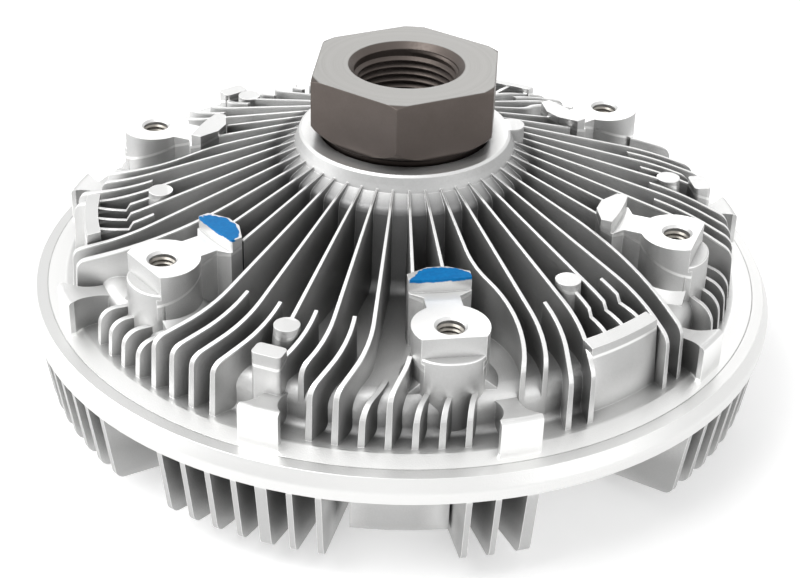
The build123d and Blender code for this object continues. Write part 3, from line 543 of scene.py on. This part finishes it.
def dress_nodes(hub):
    """Materials of every CAD piece: the castings and the hub, and the others by their slots."""
    assign("rear_housing", cast_material("housing_casting", housing_masks, paint=blue_paint))
    assign("front_cover", cast_material("cover_casting", cover_machined, COVER_BRIGHT))
    assign("drive_hub", hub)
    finishes = {
        "seal_rubber": rubber_material(),
        "bimetal_strip": bimetal_material(),
        "bearing_steel": plain_metal("bearing_steel_finish", (0.62, 0.62, 0.63), 0.2),
        "spring_steel": plain_metal("spring_steel_finish", (0.20, 0.20, 0.205), 0.38),
        "plate_steel": plain_metal("plate_steel_finish", (0.56, 0.56, 0.55), 0.34),
        "screw_steel": plain_metal("zinc_screw_finish", (0.66, 0.65, 0.58), 0.3),
        "cage_brass": plain_metal("cage_brass_finish", (0.72, 0.55, 0.26), 0.33),
        "bush_bronze": plain_metal("bush_bronze_finish", (0.60, 0.43, 0.23), 0.4),
        "rotor_aluminium": plain_metal("rotor_aluminium_finish", (0.72, 0.72, 0.72), 0.3),
        "wiper_plastic": plain_metal("wiper_plastic_finish", (0.78, 0.74, 0.63), 0.5, 0.0),
    }
    for entry in frame["record"]["subparts"]:
        if entry["material_slot"] in finishes:
            assign(entry["node"], finishes[entry["material_slot"]])


def boss_apron(index, material):
    """Rounded lower front of one fan boss, below the crescent that ends its milled flat."""
    turn = boss_turn(index)
    vertices = []
    for height, swell in APRON_LEVELS:
        for i in range(APRON_STEPS + 1):
            angle = math.radians(-APRON_ARC + 2 * APRON_ARC * i / APRON_STEPS)
            flat = APRON_FLAT * max(0.0, math.cos(APRON_TURN * angle)) ** 2
            reach = (APRON_RADIUS - flat + swell) * MM
            out = BOSS_CIRCLE + reach * math.cos(angle)
            across = reach * math.sin(angle)
            vertices.append((out * math.cos(turn) - across * math.sin(turn),
                             out * math.sin(turn) + across * math.cos(turn), height))
    row = APRON_STEPS + 1
    last = len(APRON_LEVELS) - 1
    faces = [(row * j + i, row * j + i + 1, row * (j + 1) + i + 1, row * (j + 1) + i)
             for j in range(last) for i in range(APRON_STEPS)]
    rounded = len(faces)
    faces.append(tuple(row * last + i for i in range(row)))
    faces.append(tuple(reversed(range(row))))
    faces += [(row * j, row * (j + 1), row * (j + 1) + APRON_STEPS, row * j + APRON_STEPS)
              for j in range(last)]
    piece = new_mesh(f"boss_apron_{index + 1}", vertices, faces, "housing")
    for face in piece.data.polygons[rounded:]:
        face.use_smooth = False
    piece.data.materials.append(material)


def thread_ridge(name, body, bore, thread, span, centre=(0.0, 0.0)):
    """Helical ridge of an inner thread, rising inwards from its bore."""
    pitch, depth, steps = thread
    low, high = span
    count = int((high - low - RIDGE_RISES[-1] * pitch) / pitch * steps)
    root = bore + RIDGE_SINK
    vertices = []
    for i in range(count + 1):
        angle = 2 * math.pi * i / steps
        fade = min(1.0, i / (steps / RIDGE_FADE), (count - i) / (steps / RIDGE_FADE))
        crest = bore - depth * fade
        for radius, rise in zip((root, crest, crest, root), RIDGE_RISES):
            vertices.append((centre[0] + radius * math.cos(angle),
                             centre[1] + radius * math.sin(angle),
                             low + pitch * (i / steps + rise)))
    faces = [(a, a + 1, a + 5, a + 4) for i in range(count) for a in range(4 * i, 4 * i + 3)]
    faces += [(3, 2, 1, 0), tuple(4 * count + j for j in range(4))]
    return new_mesh(name, vertices, faces, body, smooth=False)


def threads(hub):
    """Threads of the drive bore and of the six fan bosses."""
    drive = thread_ridge("drive_thread", "input", DRIVE_BORE, DRIVE_THREAD, DRIVE_THREAD_SPAN)
    drive.data.materials.append(hub)
    cut = plain_metal("tapped_aluminium_finish", (0.34, 0.32, 0.29), 0.32)
    for i in range(BOSS_COUNT):
        turn = boss_turn(i)
        spot = (BOSS_CIRCLE * math.cos(turn), BOSS_CIRCLE * math.sin(turn))
        ridge = thread_ridge(f"fan_thread_{i + 1}", "housing", FAN_BORE, FAN_THREAD,
                             FAN_THREAD_SPAN, spot)
        ridge.data.materials.append(cut)


def camera(scene):
    """Camera at the photograph's viewing angle."""
    aim = Vector((0, 0, TARGET_HEIGHT))
    forward = Vector((0, math.cos(CAMERA_ELEVATION), -math.sin(CAMERA_ELEVATION)))
    level = Vector((1, 0, 0))
    rise = level.cross(forward)
    right = math.cos(CAMERA_ROLL) * level + math.sin(CAMERA_ROLL) * rise
    up = right.cross(forward)
    lens = bpy.data.cameras.new("camera")
    lens.lens = CAMERA_LENS
    lens.sensor_width = 36
    lens.clip_start = 0.01
    holder = bpy.data.objects.new("camera", lens)
    turn = Matrix((right, up, -forward)).transposed().to_4x4()
    holder.matrix_world = Matrix.Translation(aim - CAMERA_DISTANCE * forward) @ turn
    scene.collection.objects.link(holder)
    scene.camera = holder


def floor_material():
    """White paper that glows for the rays that show it, and keeps the object's shadow."""
    shader = Shader("floor_paper")
    color = shader.mix(shader.noise(*PAPER_GRAIN), grey(0.86), grey(0.90))
    material = shader.finish(color, 0.0, PAPER_ROUGH)
    paper = shader.bsdf.outputs[0]
    glow = shader.node("ShaderNodeEmission", {"Color": grey(1), "Strength": FLOOR_GLOW})[0]
    bright = shader.node("ShaderNodeAddShader", {0: paper, 1: glow})[0]
    shown = shader.node("ShaderNodeMixShader", {0: shader.background_rays(), 1: paper, 2: bright})
    shader.link(shown[0], shader.tree.nodes["Material Output"].inputs["Surface"])
    return material


def add_floor(scene):
    """Plain pale floor just under the object."""
    mesh = bpy.data.meshes.new("floor")
    corners = [(-FLOOR_HALF, -FLOOR_HALF, 0), (FLOOR_HALF, -FLOOR_HALF, 0),
               (FLOOR_HALF, FLOOR_HALF, 0), (-FLOOR_HALF, FLOOR_HALF, 0)]
    mesh.from_pydata(corners, [], [(0, 1, 2, 3)])
    mesh.materials.append(floor_material())
    floor = bpy.data.objects.new("floor", mesh)
    floor.location = (0, 0, -FLOOR_DROP)
    scene.collection.objects.link(floor)


def studio():
    """Camera, floor, world and lamps."""
    scene = bpy.context.scene
    scene.view_settings.view_transform = "Standard"
    camera(scene)
    add_floor(scene)
    world = bpy.data.worlds.new("studio")
    world.use_nodes = True
    nodes = Nodes(world.node_tree)
    back = nodes.tree.nodes["Background"]
    back.inputs["Color"].default_value = grey(1)
    strength = nodes.ramp(nodes.background_rays(), 0.0, 1.0, WORLD_LIGHT, 1.0)
    nodes.link(strength, back.inputs["Strength"])
    scene.world = world
    for name, place, height, watts in LAMPS:
        lamp = bpy.data.lights.new(name, "AREA")
        lamp.size = LAMP_SIZE
        lamp.energy = watts
        holder = bpy.data.objects.new(name, lamp)
        holder.location = place
        gaze = Vector((0, 0, height)) - Vector(place)
        holder.rotation_euler = gaze.to_track_quat("-Z", "Y").to_euler()
        scene.collection.objects.link(holder)


hub_finish = hub_material()
dress_nodes(hub_finish)
apron_finish = cast_material("apron_casting", deep=APRON_RECESS_SHADE)
for number in range(BOSS_COUNT):
    boss_apron(number, apron_finish)
threads(hub_finish)
studio()
